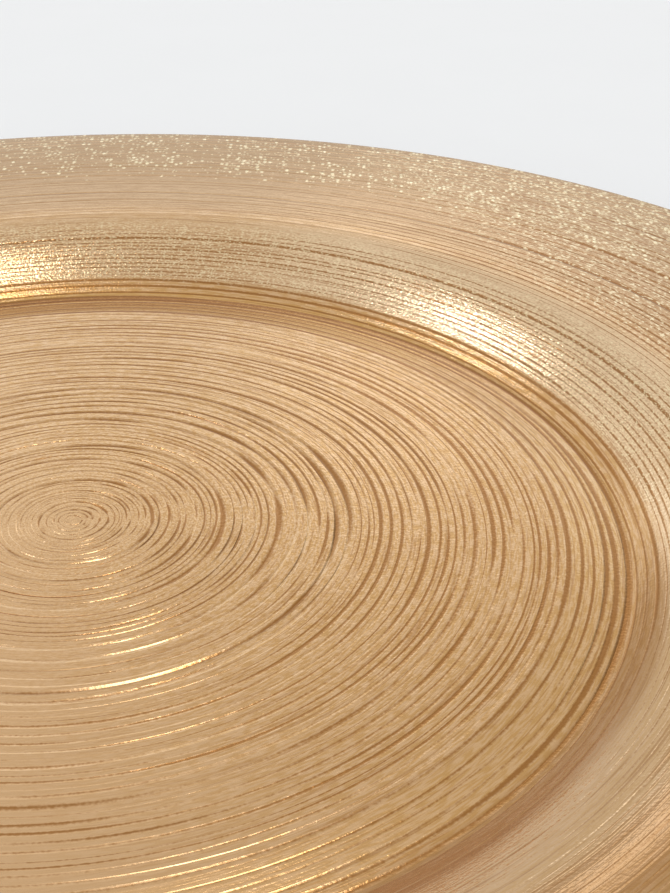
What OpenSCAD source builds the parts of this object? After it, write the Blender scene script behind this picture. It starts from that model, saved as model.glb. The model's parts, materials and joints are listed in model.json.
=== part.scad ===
// Round serving platter: a moulded plate body, a gold facing with turned rings
// that folds round the rim, and non-slip pads set into the foot ring.
// Millimetres, +Z up, origin on the table under the middle of the platter.

/* [Platter] */
// Outer diameter over the facing
platter_d = 330; // [300:1:360]
// Diameter of the flat middle of the well
floor_d = 154; // [140:1:160]
// Diameter of the gutter, the lowest line of the well, where the wall starts
gutter_d = 173; // [164:1:182]
// Diameter at the top of the wall, where the rim starts
well_d = 220; // [204:1:236]
// Height of the rim's inner edge above the flat middle of the well
well_depth = 8.4; // [5:0.1:14]
// Drop from the flat middle of the well to the gutter
gutter_drop = 0.95; // [0.1:0.05:1.2]
// How soon the wall levels off towards the rim, where 1 is a straight slope
wall_curve = 1.5; // [1.2:0.1:2.2]
// Softness of the bend at the wall's foot, as a share of the wall's width
wall_soft = 0.04; // [0.01:0.01:0.1]
// Height of the rim's outer edge above its inner edge
rim_lift = -0.2; // [-1:0.1:5]
// Swell of the rim's middle above a straight line between its edges
rim_crown = 0.7; // [0:0.1:2]

/* [Moulded body] */
// Thickness of the body, measured straight down
body_t = 2; // [1.6:0.1:3]
// Mean diameter of the foot ring
foot_d = 150; // [130:1:160]
// Width of the foot ring's flat face
foot_w = 10; // [9:0.5:14]
// Height of the foot ring below the middle of the body
foot_h = 2.4; // [2:0.1:5]
// Draft of the moulded rings' sides, in degrees
draft = 8; // [0:1:15]
// Mean diameter of the inner stiffening ring
stiffener_d = 62; // [40:1:90]
// Width of the stiffening ring's flat face
stiffener_w = 2; // [1:0.5:4]
// Height of the stiffening ring below the body
stiffener_h = 1.2; // [0.6:0.1:1.8]
// Diameter of the moulding gate's stub in the middle of the underside
gate_d = 4; // [2:0.5:6]
// Height of the gate's stub
gate_h = 0.6; // [0.2:0.1:1.2]

/* [Gold facing] */
// Thickness of the facing, measured straight down
facing_t = 0.5; // [0.35:0.05:0.7]
// Width of the hem that lies under the rim
hem_w = 4; // [2:0.5:8]
// Gap between the hem's end and the step that it lies in
hem_gap = 0.2; // [0.1:0.05:0.5]
// Mean distance between two turned rings
ring_pitch = 2.1; // [1.7:0.1:4]
// Radius of the first turned ring
ring_first = 4; // [3:0.5:8]
// Width of a ring's groove
ring_w = 0.8; // [0.4:0.1:1]
// Depth of the deepest groove
ring_depth = 0.16; // [0.05:0.01:0.25]

/* [Foot pads] */
// Diameter of a pad
pad_d = 7; // [5:0.5:8]
// How far a pad stands out of the foot ring
pad_proud = 0.5; // [0.3:0.1:1.5]
// Depth of the pocket that a pad sits in
pad_seat = 1; // [0.5:0.1:1.6]
// Gap round a pad in its pocket
pad_gap = 0.15; // [0.05:0.05:0.3]
// Rounding of a pad's lower edge
pad_round = 0.4; // [0.1:0.1:0.8]

/* [Hidden] */
$fn = 128;
pad_count = 4;
pad_turn = 45;
// Points on the curved stretches of the profile
wall_steps = 24;
rim_steps = 10;
edge_steps = 12;
// Share of the pitch by which rings stray, and the least share of the full groove depth
ring_stray = 0.25;
ring_least = 0.5;
// Turns, in degrees, that spread the rings' places and depths evenly
place_turn = 137.5;
depth_turn = 99.5;
// How far a cut starts outside the face that it opens
cut = 1;

floor_r = floor_d / 2;
gutter_r = gutter_d / 2;
well_r = well_d / 2;
skin_t = facing_t + body_t;
edge_r = skin_t / 2;
rim_end = platter_d / 2 - edge_r;
foot_z = pad_proud;
under_z = foot_z + foot_h;
floor_z = under_z + skin_t;
hem_end = rim_end - hem_w;
step_r = hem_end - hem_gap;
ring_count = floor((rim_end - ring_first - ring_w / 2) / ring_pitch + 1 - 2 * ring_stray);

pad_names = [for (i = [1:pad_count]) str("foot_pad_", i)];

// Runs from 0 to 1 like t, with a soft start
function soft_start(t) = (sqrt(t * t + wall_soft * wall_soft) - wall_soft)
    / (sqrt(1 + wall_soft * wall_soft) - wall_soft);

// Share of its height that the wall has reached at a share t of its width
function wall_rise(t) = 1 - pow(1 - soft_start(t), wall_curve);

function rim_share(r) = (r - well_r) / (rim_end - well_r);

// Height of the facing's upper side above the flat middle of the well, rings left out
function face_rise(r) =
    r <= floor_r ? 0
    : r <= gutter_r ? -gutter_drop * (r - floor_r) / (gutter_r - floor_r)
    : r <= well_r ? (well_depth + gutter_drop) * wall_rise((r - gutter_r) / (well_r - gutter_r)) - gutter_drop
    : well_depth + rim_lift * rim_share(r) + 4 * rim_crown * rim_share(r) * (1 - rim_share(r));

function face_z(r) = floor_z + face_rise(r);

function between(from, to, steps) = [for (i = [1:steps]) from + (to - from) * i / steps];

// Radii at which the smooth profile has a point
profile_r = concat(
    [0, floor_r, gutter_r],
    between(gutter_r, well_r, wall_steps),
    between(well_r, rim_end, rim_steps)
);

// The smooth profile, a given depth below the facing's upper side
function profile(depth) = [for (r = profile_r) [r, face_z(r) - depth]];

function reversed(list) = [for (i = [len(list) - 1:-1:0]) list[i]];

// Half round of the rim's edge, from its top to its underside
function edge_arc(radius) = [
    for (i = [0:edge_steps])
        let (angle = 90 - 180 * i / edge_steps)
        [rim_end + radius * cos(angle), face_z(rim_end) - edge_r + radius * sin(angle)]
];

function ring_r(k) = ring_first + ring_pitch * (k + ring_stray * (1 + sin(place_turn * k)));
function groove_depth(k) = ring_depth * (ring_least + (1 - ring_least) * pow(sin(depth_turn * k), 2));

// The facing's upper side with its turned rings, each a groove of three points
ringed_profile = concat(
    [[0, face_z(0)]],
    [
        for (k = [0:ring_count - 1], side = [-1:1])
            let (r = ring_r(k) + side * ring_w / 2)
            [r, face_z(r) - (side == 0 ? groove_depth(k) : 0)]
    ]
);

// Height of the body's plain underside
function under_at(r) = face_z(r) - skin_t;

// Reach of a moulded ring from its mean radius to the foot of its drafted side
function ring_reach(width, height) = width / 2 + height * tan(draft);

// Outline of a ring moulded on the underside, from its inner to its outer side
function moulded_ring(mean_r, width, height) =
    let (
        low = under_z - height,
        reach = ring_reach(width, height)
    ) [
        [mean_r - reach, under_at(mean_r - reach)],
        [mean_r - width / 2, low],
        [mean_r + width / 2, low],
        [mean_r + reach, under_at(mean_r + reach)]
    ];

// Points of the plain underside between two radii
function plain_under(from, to) = [for (r = profile_r) if (r > from && r < to) [r, under_at(r)]];

stiffener_end = stiffener_d / 2 + ring_reach(stiffener_w, stiffener_h);
foot_start = foot_d / 2 - ring_reach(foot_w, foot_h);
foot_end = foot_d / 2 + ring_reach(foot_w, foot_h);

// The body's underside from the middle to the step that the hem lies in
underside = concat(
    [[0, under_z - gate_h], [gate_d / 2, under_z - gate_h], [gate_d / 2, under_z]],
    moulded_ring(stiffener_d / 2, stiffener_w, stiffener_h),
    plain_under(stiffener_end, foot_start),
    moulded_ring(foot_d / 2, foot_w, foot_h),
    plain_under(foot_end, step_r),
    [[step_r, under_at(step_r)], [step_r, face_z(step_r) - body_t]]
);

module at_pads(i) {
    rotate([0, 0, pad_turn + 360 * i / pad_count])
        translate([foot_d / 2, 0, 0])
            children();
}

// Body: one moulding with its foot ring, stiffening ring and gate stub, pocketed for the pads
module plate_body() {
    color([0.74, 0.59, 0.40])
        difference() {
            rotate_extrude()
                polygon(concat(profile(facing_t), edge_arc(edge_r - facing_t), reversed(underside)));
            for (i = [0:pad_count - 1])
                at_pads(i)
                    translate([0, 0, foot_z - cut])
                        cylinder(d = pad_d + 2 * pad_gap, h = cut + pad_seat);
        }
}

// Facing: a thin skin over the body's whole upper side, folded round the edge into a hem
module gold_facing() {
    hem_low = [[hem_end, face_z(hem_end) - skin_t], [hem_end, face_z(hem_end) - body_t]];
    color([0.84, 0.69, 0.49])
        rotate_extrude()
            polygon(concat(
                ringed_profile,
                edge_arc(edge_r),
                hem_low,
                reversed(edge_arc(edge_r - facing_t)),
                reversed(profile(facing_t))
            ));
}

// Pad: a low disc with a rounded lower edge
module foot_pad(i) {
    pad_r = pad_d / 2;
    color([0.86, 0.85, 0.82])
        at_pads(i)
            rotate_extrude() {
                translate([0, pad_round])
                    square([pad_r, pad_seat + pad_proud - pad_round]);
                square([pad_r - pad_round, pad_round]);
                translate([pad_r - pad_round, pad_round])
                    intersection() {
                        circle(r = pad_round);
                        translate([0, -pad_round])
                            square(pad_round);
                    }
            }
}

plate_body();
gold_facing();
for (i = [0:pad_count - 1])
    foot_pad(i);
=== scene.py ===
# Round serving platter: a gold facing with turned rings, a moulded body and soft pads. Metres, +Z up.
import json
import math
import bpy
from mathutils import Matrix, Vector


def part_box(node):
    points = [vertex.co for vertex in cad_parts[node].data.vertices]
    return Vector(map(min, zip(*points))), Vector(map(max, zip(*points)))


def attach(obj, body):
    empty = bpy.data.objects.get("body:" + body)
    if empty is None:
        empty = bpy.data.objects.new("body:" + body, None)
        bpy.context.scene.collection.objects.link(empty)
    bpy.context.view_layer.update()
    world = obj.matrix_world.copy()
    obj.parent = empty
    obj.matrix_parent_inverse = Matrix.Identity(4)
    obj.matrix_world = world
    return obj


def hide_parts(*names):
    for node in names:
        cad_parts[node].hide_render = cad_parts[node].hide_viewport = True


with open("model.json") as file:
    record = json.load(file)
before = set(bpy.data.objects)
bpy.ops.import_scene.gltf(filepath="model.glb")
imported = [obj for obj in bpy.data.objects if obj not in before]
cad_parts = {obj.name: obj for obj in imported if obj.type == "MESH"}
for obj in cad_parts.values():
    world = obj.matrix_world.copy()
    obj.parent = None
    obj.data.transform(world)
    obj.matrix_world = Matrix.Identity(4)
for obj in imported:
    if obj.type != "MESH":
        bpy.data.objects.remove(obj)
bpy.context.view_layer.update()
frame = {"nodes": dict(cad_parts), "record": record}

from types import SimpleNamespace

import bpy
import numpy as np
from mathutils import Matrix, Vector

scene = bpy.context.scene
scene.view_settings.view_transform = "Standard"

MM = 0.001
# Takes the height out of a vector that is multiplied by it
FLAT = (1, 1, 0)

# The platter's upper side, with the sizes of the solids
OUTER_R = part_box("gold_facing")[1].x
FLOOR_Z = next(m["pos_m"][2] for m in frame["record"]["mounts"] if m["name"] == "well_floor")
FLOOR_R = 77 * MM
GUTTER_R = 86.5 * MM
WELL_R = 110 * MM
WELL_DEPTH = 8.4 * MM
GUTTER_DROP = 0.95 * MM
WALL_CURVE = 1.5
WALL_SOFT = 0.04
RIM_LIFT = -0.2 * MM
RIM_CROWN = 0.7 * MM
FACING_T = 0.5 * MM
BODY_T = 2 * MM
HEM_W = 4 * MM
EDGE_R = (FACING_T + BODY_T) / 2
RIM_END = OUTER_R - EDGE_R
HEM_END = RIM_END - HEM_W

# The turned rings, each a groove with an inner shoulder, a bottom and an outer shoulder
RING_SEED = 11
FIRST_RING_R = 1.2 * MM
# Zones of the rings, blended from one to the next: radius and pitch in mm, stray of the pitch,
# share of the pitch that is groove, slope of the groove's sides and boldness of the strokes
RING_ZONES = (
    (0, 0.8, 0.4, 0.5, 0.3, 0.6),
    (10, 1.0, 0.4, 0.5, 0.4, 0.7),
    (14, 1.2, 0.4, 0.5, 0.4, 0.72),
    (36, 1.35, 0.4, 0.5, 0.4, 0.76),
    (46, 1.35, 0.4, 0.5, 0.15, 0.85),
    (74, 1.35, 0.4, 0.5, 0.1, 0.9),
    (76, 1.9, 0.2, 0.6, 0.1, 0.9),
    (83, 1.9, 0.2, 0.6, 0.1, 0.9),
    (84, 1.8, 0.0, 0.8, 0.1, 1.2),
    (85.5, 1.8, 0.0, 0.8, 0.1, 1.2),
    (86, 1.3, 0.1, 0.5, 0.1, 1.2),
    (89, 1.3, 0.1, 0.6, 0.1, 1.4),
    (90, 1.4, 0.0, 0.65, 0.1, 1.4),
    (91, 0.9, 0.3, 0.42, 0.1, 0.9),
    (97, 0.9, 0.3, 0.42, 0.1, 0.85),
    (99, 1.3, 0.3, 0.5, 0.1, 1.1),
    (103, 1.3, 0.3, 0.5, 0.1, 1.1),
    (105, 1.0, 0.3, 0.35, 0.1, 0.7),
    (112, 1.3, 0.3, 0.35, 0.15, 0.75),
    (118, 1.7, 0.4, 0.4, 0.2, 0.8),
    (165, 2.0, 0.4, 0.4, 0.2, 0.55),
)
# Limits of a ring's pitch, and the spreads of its width and depth, as shares of the plain ones
PITCH_LIMITS = (0.4, 2.1)
WIDTH_SPREAD = (0.6, 1.4)
DEPTH_SPREAD = (0.4, 1.15)
# Rings are bold or faint in bundles: the share that each takes over from the last, and its own spread
BUNDLE_KEPT = 0.6
BUNDLE_SPREAD = 0.22

# Spread of the sizes of the waves that rings have round the platter
WAVE_SIZES = (0.4, 1.0)
# Strokes fade in and out along each ring, by such waves
STROKE_WAVES = (1, 2, 3, 5, 8, 13)
WELL_FADE = 0.85
WALL_FADE = 0.45
LEAST_STROKE = 0.05
# Shares of its width and depth that a groove would have without its stroke
FAINT_WIDTH = 0.6
FAINT_DEPTH = 0.5
# Boldness of the well's strokes, by their angle from +X towards +Y
WELL_BOLD_AT = np.radians((-110, -90, -65, -37, -20, 0, 20, 42, 60, 90, 110, 140))
WELL_BOLD = (0.4, 0.4, 0.38, 0.55, 0.95, 1.1, 1.0, 0.72, 0.65, 0.6, 0.4, 0.4)
# Boldness of the wall's and the rim's strokes: angle of the boldest, mean, swing, least and most
WALL_BOLD = (math.radians(60), 0.4, 0.8, 0.1, 1.1)
RIM_BOLD = (math.radians(25), -2.2, 3.3, 0.2, 1.1)
# Radius up to which the wall's boldness holds
WALL_LINES_R = 104 * MM

# All rings wander alike, fully from a given radius on, by three waves of which one twists with the radius
WANDER = 0.2 * MM
WANDER_FULL_R = 12 * MM
WANDER_WAVES = (0.7, 0.5, 0.3)
WANDER_PHASE = 0.8
WANDER_TWIST = 9 * MM
# Each ring strays by a share of its width, and its bottom leans inwards by a share of its half width
STRAY = 0.18
STRAY_WAVES = (2, 3, 4)
LEAN = 0.3
LEAN_SWING = 0.25
LEAN_WAVES = (1, 2)

# Rows and columns of the facing's skin, and the share of its length that its inside has in the map
COLUMNS = 192
EDGE_ROWS = 12
INNER_RIM_ROWS = 6
INNER_WALL_ROWS = 24
INNER_WELL_ROWS = 6
INNER_ROOM = 0.12
INNER_R = np.concatenate([
    np.linspace(RIM_END, WELL_R, INNER_RIM_ROWS + 1)[1:],
    np.linspace(WELL_R, GUTTER_R, INNER_WALL_ROWS + 1)[1:],
    np.linspace(FLOOR_R, FIRST_RING_R, INNER_WELL_ROWS),
])

# Colours, linear
GOLD = (0.72, 0.46, 0.245, 1)
# Paler gold for a painted sheen on the wall, where the lamps' highlight falls
PAINTED_SHEEN_GOLD = (0.86, 0.62, 0.385, 1)
RIM_GOLD = (0.61, 0.385, 0.195, 1)
DEEP_RIM_GOLD = (0.52, 0.315, 0.145, 1)
DEEP_GOLD = (0.60, 0.34, 0.125, 1)
# Deep orange for painted shade in the gutter, where light bounces between the gutter and the wall
GUTTER_SHADE_GOLD = (0.62, 0.35, 0.095, 1)
# Brown of the strokes and the hairlines, partly painted shade in the grooves, and the colour of the near
# side's painted shade
STROKE_AND_SHADE_BROWN = (0.36, 0.155, 0.04, 1)
# Bright gold for painted glints on the grit, the beads and the wall's specks
GLINT_GOLD = (1.0, 0.83, 0.52, 1)
BODY_BROWN = (0.50, 0.31, 0.13, 1)
BODY_TAN = (0.56, 0.36, 0.17, 1)
PAD_GREY = (0.66, 0.64, 0.59, 1)
PAD_PALE = (0.76, 0.74, 0.70, 1)
FLOOR_GREY = (0.815, 0.815, 0.815, 1)
FLOOR_PALE = (0.83, 0.83, 0.83, 1)

# Textures along the rings: how fast each changes along them, and its pitch across them
HAIR_SPACE = (3.0, 0.45 * MM)
DASH_SPACE = (32.0, 0.3 * MM)
WALL_BEAD_SPACE = (150.0, 0.3 * MM)
RIM_BEAD_SPACE = (115.0, 0.5 * MM)
FLOW_SPACE = (0.7, 9 * MM)
# Sizes of the textures that don't follow the rings
GOLD_GRAIN = 0.5 * MM
GRIT_PATCH = 14 * MM
BODY_GRAIN = 0.7 * MM
PAD_GRAIN = 0.3 * MM
PAD_CLOUD = 3 * MM
FLOOR_MOTTLE = 1 / 30
# Heights of the bumps
HAIR_BUMP = 0.03 * MM
DASH_BUMP = 0.017 * MM
GOLD_BUMP = 0.025 * MM
BEAD_BUMP = 0.02 * MM
GRIT_BUMP = 0.04 * MM
BODY_BUMP = 0.03 * MM
PAD_BUMP = 0.02 * MM

# Bands of the gold: radii in mm at which a band starts, is full, starts to fall and has fallen,
# then its strength before and after the fall
# The gutter's band is painted shade
GUTTER_SHADE_BAND = (76.5, 79, 85.5, 89.5, 0.7, 0.0)
WALL_BAND = (89.5, 92, 104, 110, 1.0, 0.0)
# The wall's pale band is a painted sheen
PAINTED_SHEEN_BAND = (89.5, 92.5, 106, 112, 1.0, 0.0)
# Bands of painted shade on the near side, brown over the foot and the top of the wall
PAINTED_SHADE_FOOT_BAND = (85, 86.5, 91, 94, 0.5, 0.12)
PAINTED_SHADE_TOP_BAND = (101, 105, 109, 112, 0.45, 0.2)
# Radii in mm between which the rim's own gold and its grit come in
RIM_SPAN = (108, 116)
GRIT_SPAN = (128, 142)
# Sides of the gold: an angle in degrees from +X towards +Y, two distances in mm towards that side,
# then the strength at each
CRISP_SIDE = (30, -40, 20, 0.1, 1.0)
# Where beads show and where grit is sparse; their bright specks are painted glints
BEADED_SIDE = (90, -20, 30, 0.0, 1.0)
BEADED_RIM_SIDE = (25, 95, 118, 0.0, 1.0)
SPARSE_GRIT_SIDE = (-60, 60, 105, 1.0, 0.1)
# Side of the gutter's painted shade, strongest on the far side
GUTTER_SHADE_SIDE = (90, 45, 75, 0.2, 1.0)
# Side of the painted shade: the near side
PAINTED_SHADE_SIDE = (-90, -20, 25, 0.0, 1.0)
# Sides of the wall's painted sheen: the far and the right side
PAINTED_SHEEN_FAR_SIDE = (90, -20, 40, 0.5, 1.0)
PAINTED_SHEEN_RIGHT_SIDE = (0, 10, 50, 0.45, 1.0)

# Marks made from a texture: two of its values, then the strength of the mark at each
DULL_DASHES = (0.62, 0.38, 0.0, 0.85)
BROWN_HAIRS = (0.46, 0.34, 0.0, 0.45)
# Bright beads, partly painted glints
BRIGHT_BEAD_GLINTS = (0.54, 0.7, 0.0, 0.75)
BROWN_GAPS = (0.48, 0.34, 0.0, 0.5)
GRIT_SHARES = (0.3, 0.65, 0.2, 0.6)
# Brown in the grooves: the strokes' own colour and partly painted shade
BROWN_GROOVES_AND_SHADE = (0.3, 0.85, 0.0, 0.92)
# How much the grain frays the brown of the grooves
GROOVE_FRAY = 0.5
# Values between which most of a noise lies, and roughnesses at them
NOISE_SPAN = (0.3, 0.7)
GOLD_ROUGHNESS = (0.2, 0.14)
BODY_ROUGHNESS = (0.38, 0.52)
PAD_ROUGHNESS = (0.45, 0.6)
# Shares that the wall has of the beads, of the brown gaps between them and of the roughness
WALL_BEADING = 0.9
WALL_GAPS = 0.7
WALL_ROUGHNESS = 0.55
# Grit: the size of its cells and a speck's reach, and on the wall the share of cells with a speck
# and how far the specks stray
# The coarse specks also give a bump; the bright colour of all specks is painted glints
COARSE_GRIT = {"size": 1.2 * MM, "reach": 0.5}
SMALL_GRIT = {"size": 0.75 * MM, "reach": 0.5}
WALL_GRIT = {"size": 0.9, "share": 0.3, "reach": 0.6, "stray": 0.8}
# Scale of the coordinates of the rim's grit, which draws its specks out along Y
GRIT_SCALE = (1, 0.6, 1)
# Levels of the fainter grit
SMALL_GRIT_LEVEL = 0.6
WALL_GRIT_LEVEL = 0.8
# Share of a speck's reach over which it is full
SPECK_CORE = 0.3
# Subsurface radius of the pads' rubber, for each colour
PAD_SPREAD = (1 * MM, 1 * MM, 1 * MM)

# The camera, as solved from the rings in the photograph, with its lens and sensor in mm
CAMERA_AT = Vector((0.0411, -0.1930, 0.1274 + FLOOR_Z))
CAMERA_PITCH = math.radians(30.41)
CAMERA_ROLL = math.radians(0.79)
CAMERA_LENS = 59.115
CAMERA_SENSOR = 36
CAMERA_NEAREST = 0.01

# Light of the studio, where 1 is white: colours by the height of the direction, then glows, each with
# its direction, the cosines of the angle to it at which it starts and is full, and its level
HEIGHT_COLOURS = (
    (0.0, (0.78, 0.78, 0.78)),
    (0.12, (0.76, 0.76, 0.76)),
    (0.24, (0.73, 0.70, 0.60)),
    (0.34, (0.82, 0.83, 0.83)),
    (0.46, (1.32, 1.45, 1.62)),
    (0.54, (0.92, 0.92, 0.91)),
    (0.70, (0.77, 0.77, 0.76)),
    (0.84, (0.80, 0.80, 0.80)),
    (1.0, (0.76, 0.76, 0.76)),
)
GLOWS = (
    ((-0.5, 0.45, 0.74), 0.945, 0.985, 0.1),
    ((0.03, 0.885, 0.465), 0.994, 0.9985, 0.35),
    ((0.12, 0.94, 0.32), 0.990, 0.998, 0.15),
)
# The right is dim below a height: spans over which that comes in, and the share of light it keeps
RIGHT_SPAN = (0.37, 0.6)
RIGHT_HEIGHTS = (0.54, 0.74)
RIGHT_SHARE = 0.5
# The near side adds light: the span over which it comes in, and its level
NEAR_SPAN = (-0.2, -0.7)
NEAR_LEVEL = 0.5
# Soft lights: place, width and height, level and colour
KEY_LIGHT = {"at": (0.12, 0.36, 1.2), "size": (0.34, 0.22), "level": 4.8, "colour": (1, 1, 1)}
FILL_LIGHT = {"at": (-0.765, 1.06, 1.783), "size": (0.07, 0.36), "level": 8.0, "colour": (0.9, 1.0, 1.2)}
# Half of the floor's side
FLOOR_REACH = 6.0


def soft_start(share):
    """Runs from 0 to 1 like the share, with a soft start."""
    return (np.hypot(share, WALL_SOFT) - WALL_SOFT) / (math.hypot(1, WALL_SOFT) - WALL_SOFT)


def face_z(r):
    """Height of the facing's upper side, rings left out."""
    gutter = np.clip((r - FLOOR_R) / (GUTTER_R - FLOOR_R), 0, 1)
    wall = np.clip((r - GUTTER_R) / (WELL_R - GUTTER_R), 0, 1)
    wall_rise = 1 - (1 - soft_start(wall)) ** WALL_CURVE
    share = np.clip((r - WELL_R) / (RIM_END - WELL_R), 0, 1)
    rim = RIM_LIFT * share + 4 * RIM_CROWN * share * (1 - share)
    return FLOOR_Z - GUTTER_DROP * gutter + (WELL_DEPTH + GUTTER_DROP) * wall_rise + rim


def ring_layout(rng):
    """Radius, width, depth and boldness of each ring, from the middle outwards."""
    zone_r, *zone_values = np.array(RING_ZONES).T
    rings = []
    r = FIRST_RING_R
    bundle = 0.0
    while True:
        pitch, stray, share, slope, bold = (np.interp(r / MM, zone_r, values) for values in zone_values)
        pitch *= MM * np.clip(rng.lognormal(0, stray), *PITCH_LIMITS)
        if r + pitch > RIM_END:
            return np.array(rings)
        width = pitch * share * rng.uniform(*WIDTH_SPREAD)
        depth = slope * rng.uniform(*DEPTH_SPREAD) * width / 2
        bundle = BUNDLE_KEPT * bundle + rng.normal(0, BUNDLE_SPREAD)
        rings.append((r + width / 2, width, depth, bold + bundle))
        r += pitch


def waves(rng, count, turns, angles):
    """One smooth closed curve for each ring, about -1 to 1, made of a few whole waves."""
    total = np.zeros((count, len(angles)))
    for n in turns:
        phase = rng.uniform(0, 2 * np.pi, (count, 1))
        size = rng.uniform(*WAVE_SIZES, (count, 1))
        total += size * np.sin(n * angles + phase)
    return total / math.sqrt(len(turns))


def side_boldness(angles, boldest, mean, swing, least, most):
    """Boldness round the platter that is greatest at one angle."""
    return np.clip(mean + swing * np.cos(angles - boldest), least, most)


def boldness(angles, base_r):
    """Boldness of each ring's strokes round the platter."""
    well = np.interp(angles, WELL_BOLD_AT, WELL_BOLD, period=2 * np.pi)
    wall = side_boldness(angles, *WALL_BOLD)
    rim = side_boldness(angles, *RIM_BOLD)
    side = np.where(base_r < WALL_LINES_R, wall, rim)
    side = np.where(base_r < GUTTER_R, np.maximum(well, wall), side)
    return np.where(base_r < FLOOR_R, well, side)


def wander(angles, base_r):
    """How far each ring wanders from its radius in step with the others."""
    phases = (WANDER_PHASE, base_r / WANDER_TWIST, 0)
    shared = 0
    for n, (size, phase) in enumerate(zip(WANDER_WAVES, phases), start=1):
        shared = shared + size * np.sin(n * angles + phase)
    return WANDER * np.minimum(1, base_r / WANDER_FULL_R) * shared


def ring_rows(angles):
    """Radius, height and groove share of each ring's three rows, from the middle outwards."""
    rng = np.random.default_rng(RING_SEED)
    rings = ring_layout(rng)
    count = len(rings)
    base_r, width, depth, bold = (column[:, None] for column in rings.T)

    fade = np.where(base_r < FLOOR_R, WELL_FADE, WALL_FADE)
    stroke = boldness(angles, base_r) * (bold + fade * waves(rng, count, STROKE_WAVES, angles))
    stroke = np.clip(stroke, LEAST_STROKE, 1)
    stray = STRAY * width * waves(rng, count, STRAY_WAVES, angles)
    lean = LEAN_SWING * waves(rng, count, LEAN_WAVES, angles) - LEAN
    middle = base_r + wander(angles, base_r) + stray
    half = width / 2 * (FAINT_WIDTH + (1 - FAINT_WIDTH) * stroke)

    r = np.stack([middle - half, middle + half * lean, middle + half], axis=1)
    z = face_z(r)
    z[:, 1] -= depth * (FAINT_DEPTH + (1 - FAINT_DEPTH) * stroke)
    groove = np.zeros_like(r)
    groove[:, 1] = stroke
    return [rows.reshape(-1, COLUMNS) for rows in (r, z, groove)]


def plain_rows():
    """Radius and height of the rows after the rings: round the edge, over the hem and along the inside."""
    turn = np.linspace(np.pi / 2, -np.pi / 2, EDGE_ROWS + 1)
    back = turn[::-1]
    edge_z = face_z(RIM_END) - EDGE_R
    fold_r = EDGE_R - FACING_T
    hem_z = face_z(HEM_END) - BODY_T
    r = [RIM_END + EDGE_R * np.cos(turn), [HEM_END, HEM_END], RIM_END + fold_r * np.cos(back), INNER_R]
    z = [
        edge_z + EDGE_R * np.sin(turn),
        [hem_z - FACING_T, hem_z],
        edge_z + fold_r * np.sin(back),
        face_z(INNER_R) - FACING_T,
    ]
    return [np.tile(np.concatenate(parts)[:, None], COLUMNS) for parts in (r, z)]


def add_object(name, data):
    """A new object in the scene."""
    obj = bpy.data.objects.new(name, data)
    scene.collection.objects.link(obj)
    return obj


def mark_sharp(mesh, rows, sharp_rows):
    """Keeps the edges along the first rows of the skin sharp, which are those of the rings."""
    row_of_point = np.append(np.repeat(np.arange(rows), COLUMNS), [-1, -1])
    ends = np.zeros(2 * len(mesh.edges), np.int32)
    mesh.edges.foreach_get("vertices", ends)
    start_row, end_row = row_of_point[ends.reshape(-1, 2)].T
    sharp = mesh.attributes.new("sharp_edge", "BOOLEAN", "EDGE")
    sharp.data.foreach_set("value", (start_row == end_row) & (start_row < sharp_rows))


def add_map(mesh, r, z):
    """A map that runs round the rings and along the profile, with most of its room for the upper side."""
    run = np.hypot(np.diff(r.mean(axis=1), prepend=0), np.diff(z.mean(axis=1), prepend=FLOOR_Z))
    run[-len(INNER_R):] *= INNER_ROOM
    along = np.cumsum(run)
    along = along / (along[-1] + INNER_ROOM * r[-1].mean())
    column = np.arange(COLUMNS) / COLUMNS
    after = column + 1 / COLUMNS
    between = column + 0.5 / COLUMNS

    shape = (len(r) - 1, COLUMNS, 4)
    quad_u = np.broadcast_to(np.stack([column, column, after, after], axis=1), shape)
    quad_v = np.stack([along[:-1], along[1:], along[1:], along[:-1]], axis=1)
    quad_v = np.broadcast_to(quad_v[:, None], shape)
    top_u = np.stack([between, column, after], axis=1)
    top_v = np.tile([0, along[0], along[0]], COLUMNS)
    bottom_u = np.stack([between, after, column], axis=1)
    bottom_v = np.tile([1, along[-1], along[-1]], COLUMNS)
    u = np.concatenate([quad_u.ravel(), top_u.ravel(), bottom_u.ravel()])
    v = np.concatenate([quad_v.ravel(), top_v, bottom_v])
    polar = mesh.uv_layers.new(name="OFBake")
    polar.data.foreach_set("uv", np.stack([u, v], axis=1).ravel().astype(np.float32))


def build_facing():
    """The facing as one closed skin whose rows follow the rings, with a fan at each end."""
    angles = np.arange(COLUMNS) * 2 * np.pi / COLUMNS
    ring_r, ring_z, ring_groove = ring_rows(angles)
    plain_r, plain_z = plain_rows()
    r = np.concatenate([ring_r, plain_r])
    z = np.concatenate([ring_z, plain_z])
    groove = np.concatenate([ring_groove, np.zeros_like(plain_r)])

    points = np.stack([r * np.cos(angles), r * np.sin(angles), z], axis=2).reshape(-1, 3)
    ends = np.array([[0, 0, FLOOR_Z], [0, 0, FLOOR_Z - FACING_T]])
    top = len(points)
    bottom = top + 1
    index = np.arange(len(points)).reshape(r.shape)
    after = np.roll(index, -1, axis=1)
    quads = np.stack([index[:-1], index[1:], after[1:], after[:-1]], axis=2).reshape(-1, 4)
    top_fan = [(top, a, b) for a, b in zip(index[0], after[0])]
    bottom_fan = [(bottom, b, a) for a, b in zip(index[-1], after[-1])]

    mesh = bpy.data.meshes.new("gold_facing_turned")
    mesh.from_pydata(np.concatenate([points, ends]).tolist(), [], quads.tolist() + top_fan + bottom_fan)
    mesh.polygons.foreach_set("use_smooth", np.ones(len(mesh.polygons), bool))
    shade = mesh.attributes.new("groove", "FLOAT", "POINT")
    shade.data.foreach_set("value", np.append(groove.ravel(), [0, 0]).astype(np.float32))
    mark_sharp(mesh, len(r), len(ring_r))
    add_map(mesh, r, z)
    return add_object("gold_facing_turned", mesh)


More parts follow.
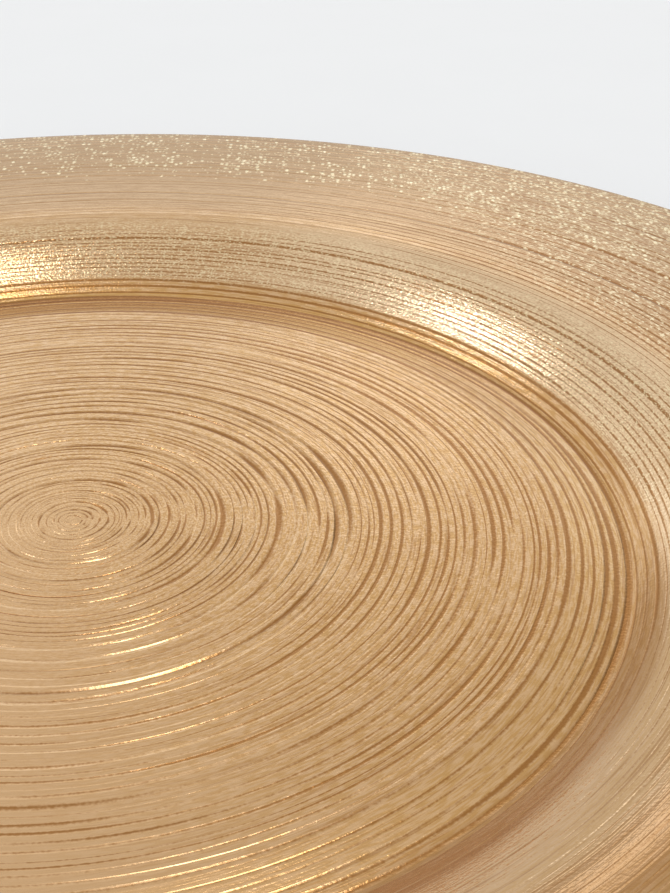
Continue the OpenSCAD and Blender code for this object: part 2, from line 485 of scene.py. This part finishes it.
class Tree:
    """A material's or the world's nodes, with short ways to add them."""

    def __init__(self, owner):
        owner.use_nodes = True
        self.tree = owner.node_tree
        self.tree.nodes.clear()

    def add(self, kind, inputs=None, **settings):
        """A node, with each input linked to a socket or set to a value."""
        node = self.tree.nodes.new("ShaderNode" + kind)
        for name, value in settings.items():
            setattr(node, name, value)
        for key, value in (inputs or {}).items():
            if isinstance(value, bpy.types.NodeSocket):
                self.tree.links.new(value, node.inputs[key])
            else:
                node.inputs[key].default_value = value
        return node

    def math(self, operation, first, *others):
        """Joins values by one operation, from the first to the last."""
        for other in others:
            first = self.add("Math", {0: first, 1: other}, operation=operation).outputs[0]
        return first

    def vector(self, operation, first, other=(0, 0, 0), output="Vector"):
        return self.add("VectorMath", {0: first, 1: other}, operation=operation).outputs[output]

    def scale(self, vector, factor):
        return self.add("VectorMath", {0: vector, "Scale": factor}, operation="SCALE").outputs["Vector"]

    def ramp(self, value, low, high, to_low=0.0, to_high=1.0):
        """A smooth step between two values of what drives it."""
        inputs = {"Value": value, "From Min": low, "From Max": high, "To Min": to_low, "To Max": to_high}
        return self.add("MapRange", inputs, interpolation_type="SMOOTHSTEP").outputs["Result"]

    def ramp_mm(self, value, low, high, to_low=0.0, to_high=1.0):
        """A smooth step between two lengths in mm."""
        return self.ramp(value, low * MM, high * MM, to_low, to_high)

    def mix(self, share, a, b):
        """A mix of two colours."""
        return self.add("Mix", {0: share, 6: a, 7: b}, data_type="RGBA").outputs[2]

    def mix_value(self, share, a, b):
        """A mix of two values."""
        return self.add("Mix", {0: share, 2: a, 3: b}).outputs[0]

    def noise(self, vector, size=1.0, detail=1.0, roughness=0.5):
        inputs = {"Vector": vector, "Scale": 1 / size, "Detail": detail, "Roughness": roughness}
        return self.add("TexNoise", inputs).outputs[0]

    def bump(self, height, distance, strength=1.0, normal=None):
        inputs = {"Height": height, "Strength": strength, "Distance": distance}
        if normal is not None:
            inputs["Normal"] = normal
        return self.add("Bump", inputs).outputs[0]

    def finish(self, shader):
        self.add("OutputMaterial", {"Surface": shader.outputs[0]})


def ring_space(tree, turn_scale, pitch):
    """Coordinates that run along the rings slowly and across them fast, with no seam."""
    place = tree.add("TexCoord").outputs["Object"]
    flat = tree.vector("MULTIPLY", place, FLAT)
    radius = tree.vector("LENGTH", flat, output="Value")
    along = tree.scale(tree.vector("NORMALIZE", flat), turn_scale)
    across = tree.add("CombineXYZ", {"Z": tree.math("DIVIDE", radius, pitch)}).outputs[0]
    return tree.vector("ADD", along, across), radius, place


def band_mask(tree, radius, start, full, fall, end, strength, rest):
    """A strength that comes in between two radii and changes between two others, all in mm."""
    coming = tree.ramp_mm(radius, start, full)
    going = tree.ramp_mm(radius, fall, end, strength, rest)
    return tree.math("MULTIPLY", coming, going)


def side_mask(tree, place, degrees, low, high, to_low, to_high):
    """A strength that changes between two distances in mm towards one side."""
    angle = math.radians(degrees)
    towards = tree.vector("DOT_PRODUCT", place, (math.cos(angle), math.sin(angle), 0), "Value")
    return tree.ramp_mm(towards, low, high, to_low, to_high)


def specks(tree, place, size, share, reach, stray=1.0):
    """Round spots in a share of the cells of a given size, 1 in their middles."""
    cells = tree.add("TexVoronoi", {"Vector": place, "Scale": 1 / size, "Randomness": stray}, feature="F1")
    pick = tree.add("SeparateColor", {0: cells.outputs["Color"]}).outputs[0]
    spot = tree.ramp(cells.outputs["Distance"], SPECK_CORE * reach, reach, 1.0, 0.0)
    return tree.math("MULTIPLY", spot, tree.math("LESS_THAN", pick, share))


def gold_marks(tree):
    """The gold's textures, its grit with painted glints, and the masks that say where they show."""
    hair_at, radius, place = ring_space(tree, *HAIR_SPACE)
    dash_at, _, _ = ring_space(tree, *DASH_SPACE)
    wall_bead_at, _, _ = ring_space(tree, *WALL_BEAD_SPACE)
    rim_bead_at, _, _ = ring_space(tree, *RIM_BEAD_SPACE)

    wall = band_mask(tree, radius, *WALL_BAND)
    bead = tree.mix_value(wall, tree.noise(rim_bead_at), tree.noise(wall_bead_at))
    beaded_wall = tree.math("MULTIPLY", wall, WALL_BEADING)
    beaded = tree.math("MAXIMUM", side_mask(tree, place, *BEADED_RIM_SIDE), beaded_wall)
    beaded = tree.math("MULTIPLY", side_mask(tree, place, *BEADED_SIDE), beaded)
    gaps = tree.math("MULTIPLY", beaded, tree.ramp(bead, *BROWN_GAPS))
    gaps = tree.math("MULTIPLY", gaps, tree.ramp(wall, 0.0, 1.0, 1.0, WALL_GAPS))

    # Grit whose bright specks are painted glints, sparse towards the near right
    grit_share = tree.ramp(tree.noise(place, GRIT_PATCH), *GRIT_SHARES)
    grit_share = tree.math("MULTIPLY", tree.ramp_mm(radius, *GRIT_SPAN), grit_share)
    grit_share = tree.math("MULTIPLY", grit_share, side_mask(tree, place, *SPARSE_GRIT_SIDE))
    grit_at = tree.vector("MULTIPLY", place, GRIT_SCALE)
    coarse = specks(tree, grit_at, share=grit_share, **COARSE_GRIT)
    small = tree.math("MULTIPLY", specks(tree, grit_at, share=grit_share, **SMALL_GRIT), SMALL_GRIT_LEVEL)
    # Bright specks on the wall and bright beads, painted glints in part
    wall_glint_specks = tree.math("MULTIPLY", specks(tree, wall_bead_at, **WALL_GRIT), WALL_GRIT_LEVEL, wall)
    rows = tree.math("MULTIPLY", beaded, tree.math("MAXIMUM", tree.ramp(bead, *BRIGHT_BEAD_GLINTS), wall_glint_specks))

    return SimpleNamespace(
        place=place,
        radius=radius,
        wall=wall,
        crisp=side_mask(tree, place, *CRISP_SIDE),
        hair=tree.noise(hair_at, detail=2.0, roughness=0.6),
        dash=tree.noise(dash_at),
        grain=tree.noise(place, GOLD_GRAIN),
        bead=bead,
        beaded=beaded,
        gaps=gaps,
        coarse=coarse,
        grit=tree.math("MAXIMUM", coarse, small, rows),
    )


def gold_normal(tree, marks):
    """Fine relief of the gold: hairlines, dashes, grain, beads and coarse grit."""
    normal = tree.bump(marks.hair, HAIR_BUMP, marks.crisp)
    normal = tree.bump(marks.dash, DASH_BUMP, marks.crisp, normal)
    normal = tree.bump(marks.grain, GOLD_BUMP, marks.crisp, normal)
    normal = tree.bump(marks.bead, BEAD_BUMP, marks.beaded, normal)
    return tree.bump(marks.coarse, GRIT_BUMP, normal=normal)


def gold_colour(tree, marks):
    """Gold that differs by band and side, with painted shade in the gutter and on the near side, a painted
    sheen on the wall, brown in grooves that is partly painted shade, brown hairlines, and bright grit and
    beads that are painted glints.
    """
    # Painted shade in the gutter, strongest on the far side
    foot = band_mask(tree, marks.radius, *GUTTER_SHADE_BAND)
    foot = tree.math("MULTIPLY", foot, side_mask(tree, marks.place, *GUTTER_SHADE_SIDE))
    # Painted sheen on the wall, on the far and right sides where the lamps' highlight falls
    pale = band_mask(tree, marks.radius, *PAINTED_SHEEN_BAND)
    pale = tree.math("MULTIPLY", pale, side_mask(tree, marks.place, *PAINTED_SHEEN_FAR_SIDE))
    pale = tree.math("MULTIPLY", pale, side_mask(tree, marks.place, *PAINTED_SHEEN_RIGHT_SIDE))
    # Painted shade on the near side, over the foot and the top of the wall
    painted_shade_foot = band_mask(tree, marks.radius, *PAINTED_SHADE_FOOT_BAND)
    painted_shade_top = band_mask(tree, marks.radius, *PAINTED_SHADE_TOP_BAND)
    painted_shade = tree.math("ADD", painted_shade_foot, painted_shade_top)
    painted_shade = tree.math("MULTIPLY", painted_shade, side_mask(tree, marks.place, *PAINTED_SHADE_SIDE))
    dull = tree.math("MULTIPLY", marks.crisp, tree.ramp(marks.dash, *DULL_DASHES))
    lines = tree.math("MULTIPLY", marks.crisp, tree.ramp(marks.hair, *BROWN_HAIRS))
    groove = tree.add("Attribute", attribute_name="groove").outputs["Fac"]
    frayed = tree.math("ADD", tree.math("MULTIPLY", marks.grain, GROOVE_FRAY), groove)

    colour = tree.mix(dull, GOLD, DEEP_GOLD)
    colour = tree.mix(foot, colour, GUTTER_SHADE_GOLD)
    colour = tree.mix(pale, colour, PAINTED_SHEEN_GOLD)
    colour = tree.mix(tree.ramp_mm(marks.radius, *RIM_SPAN), colour, tree.mix(dull, RIM_GOLD, DEEP_RIM_GOLD))
    # Painted shade on the near side
    colour = tree.mix(painted_shade, colour, STROKE_AND_SHADE_BROWN)
    colour = tree.mix(tree.math("MAXIMUM", lines, marks.gaps), colour, STROKE_AND_SHADE_BROWN)
    # Brown in the grooves, partly painted shade
    colour = tree.mix(tree.ramp(frayed, *BROWN_GROOVES_AND_SHADE), colour, STROKE_AND_SHADE_BROWN)
    # Painted glints on the grit, the beads and the wall's specks
    return tree.mix(marks.grit, colour, GLINT_GOLD)


def gold_material():
    """Metallised gold with turned strokes, glossier on the wall."""
    material = bpy.data.materials.new("turned_gold")
    tree = Tree(material)
    marks = gold_marks(tree)
    roughness = tree.ramp(marks.hair, *NOISE_SPAN, *GOLD_ROUGHNESS)
    shader = tree.add("BsdfPrincipled", {
        "Base Color": gold_colour(tree, marks),
        "Metallic": 1.0,
        "Roughness": tree.math("MULTIPLY", roughness, tree.ramp(marks.wall, 0.0, 1.0, 1.0, WALL_ROUGHNESS)),
        "Normal": gold_normal(tree, marks),
    })
    tree.finish(shader)
    return material


def plastic_material():
    """Satin moulded plastic, gold brown, with a fine moulded grain and faint flow rings."""
    material = bpy.data.materials.new("satin_plastic")
    tree = Tree(material)
    flow_at, _, place = ring_space(tree, *FLOW_SPACE)
    flow = tree.noise(flow_at, detail=2.0)
    grain = tree.noise(place, BODY_GRAIN, detail=2.0, roughness=0.6)
    shader = tree.add("BsdfPrincipled", {
        "Base Color": tree.mix(tree.ramp(flow, *NOISE_SPAN), BODY_BROWN, BODY_TAN),
        "Metallic": 0.35,
        "Roughness": tree.ramp(grain, *NOISE_SPAN, *BODY_ROUGHNESS),
        "Normal": tree.bump(grain, BODY_BUMP),
    })
    tree.finish(shader)
    return material


def rubber_material():
    """Cloudy soft rubber."""
    material = bpy.data.materials.new("cloudy_rubber")
    tree = Tree(material)
    place = tree.add("TexCoord").outputs["Object"]
    cloud = tree.noise(place, PAD_CLOUD, detail=2.0, roughness=0.6)
    grain = tree.noise(place, PAD_GRAIN, detail=2.0, roughness=0.6)
    shader = tree.add("BsdfPrincipled", {
        "Base Color": tree.mix(tree.ramp(cloud, *NOISE_SPAN), PAD_GREY, PAD_PALE),
        "Roughness": tree.ramp(grain, *NOISE_SPAN, *PAD_ROUGHNESS),
        "Subsurface Weight": 0.2,
        "Subsurface Radius": PAD_SPREAD,
        "Normal": tree.bump(grain, PAD_BUMP),
    })
    tree.finish(shader)
    return material


def floor_material():
    """Plain pale floor with a barely visible mottle."""
    material = bpy.data.materials.new("pale_floor")
    tree = Tree(material)
    place = tree.add("TexCoord").outputs["Object"]
    mottle = tree.noise(place, FLOOR_MOTTLE, detail=2.0)
    shader = tree.add("BsdfPrincipled", {
        "Base Color": tree.mix(mottle, FLOOR_GREY, FLOOR_PALE),
        "Roughness": 0.8,
        "Specular IOR Level": 0.2,
    })
    tree.finish(shader)
    return material


def set_material(obj, material):
    """Gives an object one material in place of any that it has."""
    obj.data.materials.clear()
    obj.data.materials.append(material)


def build_floor():
    """A level square under the platter."""
    corners = [(x * FLOOR_REACH, y * FLOOR_REACH, 0) for x, y in ((-1, -1), (1, -1), (1, 1), (-1, 1))]
    mesh = bpy.data.meshes.new("floor")
    mesh.from_pydata(corners, [], [(0, 1, 2, 3)])
    floor = add_object("floor", mesh)
    set_material(floor, floor_material())


def build_camera():
    """The camera, pitched down from the level and rolled a little."""
    data = bpy.data.cameras.new("camera")
    data.lens = CAMERA_LENS
    data.sensor_width = CAMERA_SENSOR
    data.clip_start = CAMERA_NEAREST
    camera = add_object("camera", data)
    turn = Matrix.Rotation(math.pi / 2 - CAMERA_PITCH, 4, "X") @ Matrix.Rotation(CAMERA_ROLL, 4, "Z")
    camera.matrix_world = Matrix.Translation(CAMERA_AT) @ turn
    scene.camera = camera


def softbox(name, at, size, level, colour):
    """A soft light that faces the middle of the platter, with a power that follows its size and level."""
    data = bpy.data.lights.new(name, "AREA")
    data.shape = "RECTANGLE"
    data.color = colour
    data.size, data.size_y = size
    data.energy = level * math.pi * math.prod(size)
    light = add_object(name, data)
    light.location = at
    light.rotation_euler = (-Vector(at)).to_track_quat("-Z", "Y").to_euler()


def build_world():
    """A pale studio: colours by height, dim low at the right, lighter at the near side, and soft glows."""
    world = bpy.data.worlds.new("studio")
    scene.world = world
    tree = Tree(world)
    way = tree.add("TexCoord").outputs["Generated"]
    height = tree.add("SeparateXYZ", {0: way}).outputs["Z"]
    heading = tree.vector("NORMALIZE", tree.vector("MULTIPLY", way, FLAT))
    rightward, forward, _ = tree.add("SeparateXYZ", {0: heading}).outputs

    by_height = tree.add("ValToRGB", {0: height})
    by_height.color_ramp.interpolation = "EASE"
    stops = by_height.color_ramp.elements
    for place, _ in HEIGHT_COLOURS[1:-1]:
        stops.new(place)
    for stop, (_, colour) in zip(stops, HEIGHT_COLOURS):
        stop.color = (*colour, 1)

    low = tree.ramp(height, *RIGHT_HEIGHTS, 1.0, 0.0)
    dim = tree.math("MULTIPLY", tree.ramp(rightward, *RIGHT_SPAN), low)
    light = tree.scale(by_height.outputs["Color"], tree.ramp(dim, 0.0, 1.0, 1.0, RIGHT_SHARE))
    extra = tree.ramp(forward, *NEAR_SPAN, 0.0, NEAR_LEVEL)
    for glow_way, start, full, level in GLOWS:
        nearness = tree.vector("DOT_PRODUCT", way, Vector(glow_way).normalized(), "Value")
        extra = tree.math("ADD", extra, tree.ramp(nearness, start, full, 0.0, level))
    studio = tree.add("Background", {"Color": tree.vector("ADD", light, extra), "Strength": 1.0})
    tree.add("OutputWorld", {"Surface": studio.outputs[0]})


build_camera()
build_world()
build_floor()
softbox("key_light", **KEY_LIGHT)
softbox("fill_light", **FILL_LIGHT)

facing = build_facing()
set_material(facing, gold_material())
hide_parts("gold_facing")
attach(facing, "root")

set_material(frame["nodes"]["plate_body"], plastic_material())
rubber = rubber_material()
for name, node in frame["nodes"].items():
    if name.startswith("foot_pad"):
        set_material(node, rubber)
